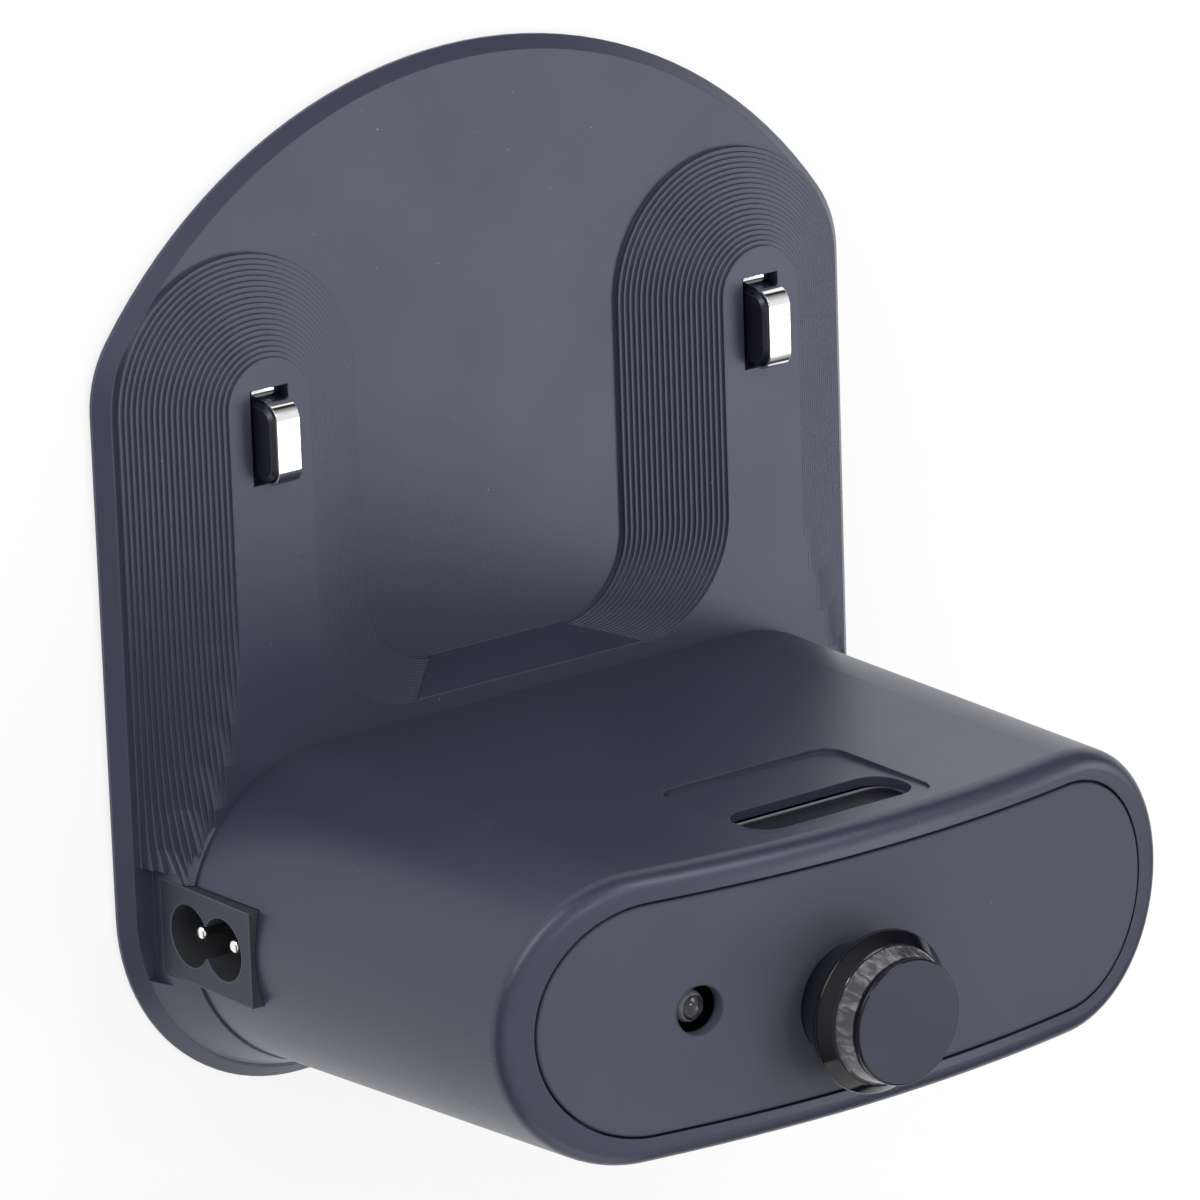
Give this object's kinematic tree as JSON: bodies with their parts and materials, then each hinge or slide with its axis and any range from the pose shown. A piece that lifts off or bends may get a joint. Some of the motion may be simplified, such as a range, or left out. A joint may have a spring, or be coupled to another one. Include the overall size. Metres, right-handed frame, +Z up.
{
  "type": "robot vacuum charging dock",
  "caption": "Charging dock for a robot vacuum: domed floor plate with stepped pads and sprung contacts, a rounded supply tower with a beacon on top and a mains inlet in its end.",
  "frame": {"origin": "on the floor under the middle of the dock's outline, at the undersides of the feet", "axes": "+Z up, as the dock stands in use; -Y to the front, where the robot drives on; +X to the side with the mains inlet"},
  "size_m": [0.142, 0.1558, 0.1088],
  "materials": {
    "shell": "fine satin texture, dark slate",
    "panel": "smooth satin, dark slate",
    "gloss_black": "polished",
    "smoked_lens": "streaky translucent moulding",
    "clear_lamp": "clear domed lamp",
    "dark_lamp": "infrared lamp, dark tint",
    "window": "dark polished window",
    "contact_black": "smooth black",
    "nickel": "polished nickel plate",
    "spring_steel": "bright wire",
    "screw_steel": "zinc plated",
    "tinned_brass": "tinned strip",
    "foot_rubber": "soft matte pad",
    "inlet_plastic": "fine matte",
    "holder_black": "plain matte",
    "board_green": "lacquered board",
    "ferrite": "sintered grey",
    "winding_tape": "yellow tape",
    "sleeve": "shrink sleeve",
    "film_box": "moulded box",
    "fuse_body": "brown moulding",
    "epoxy": "moulded package",
    "sink_metal": "plain sheet",
    "enamel": "enamelled winding",
    "nylon": "natural nylon",
    "insulation": "wire insulation",
    "mains_insulation": "wire insulation",
    "ballast_steel": "pressed plate"
  },
  "bodies": {
    "dock": {"ballast_plate": "ballast_steel", "base_cover": "shell", "base_top": "shell", "beacon_cap": "panel", "beacon_collar": "gloss_black", "beacon_emitter": "dark_lamp", "beacon_lens": "smoked_lens", "beacon_reflector": "nickel", "board_screw_left": "screw_steel", "board_screw_right": "screw_steel", "bridge_rectifier": "epoxy", "contact_lead_left": "insulation", "contact_lead_right": "insulation", "contact_terminal_left": "tinned_brass", "contact_terminal_right": "tinned_brass", "cover_screw_front_left": "screw_steel", "cover_screw_front_right": "screw_steel", "cover_screw_rear_left": "screw_steel", "cover_screw_rear_right": "screw_steel", "emitter_board": "board_green", "emitter_holder": "holder_black", "filter_capacitor": "film_box", "foot_front_left": "foot_rubber", "foot_front_right": "foot_rubber", "foot_rear_left": "foot_rubber", "foot_rear_right": "foot_rubber", "fuse_link": "fuse_body", "guide_emitter_left": "dark_lamp", "guide_emitter_right": "dark_lamp", "guide_window": "window", "heat_sink": "sink_metal", "inlet_housing": "inlet_plastic", "inlet_pin_lower": "nickel", "inlet_pin_upper": "nickel", "input_choke": "enamel", "lamp_spacer": "nylon", "mains_capacitor": "sleeve", "mains_header": "nylon", "mains_lead_lower": "mains_insulation", "mains_lead_upper": "mains_insulation", "output_capacitor_1": "sleeve", "output_capacitor_2": "sleeve", "output_header": "nylon", "power_board": "board_green", "power_switch": "epoxy", "signal_header": "nylon", "signal_lead": "insulation", "status_lamp": "clear_lamp", "top_panel": "panel", "tower_shell": "shell", "transformer_core": "ferrite", "transformer_winding": "winding_tape"},
    "contact_left": {"contact_block_left": "contact_black", "contact_strip_left": "nickel", "contact_spring_left": "spring_steel"},
    "contact_right": {"contact_block_right": "contact_black", "contact_strip_right": "nickel", "contact_spring_right": "spring_steel"}
  },
  "joints": [
    {"name": "contact_left_press", "type": "slide", "parent": "dock", "child": "contact_left", "axis": [0, 0, -1], "range_m": [0, 0.003], "stiffness_N_per_m": 300, "springref_m": -0.002, "deforming": ["contact_spring_left"]},
    {"name": "contact_right_press", "type": "slide", "parent": "dock", "child": "contact_right", "axis": [0, 0, -1], "range_m": [0, 0.003], "stiffness_N_per_m": 300, "springref_m": -0.002, "deforming": ["contact_spring_right"]}
  ]
}
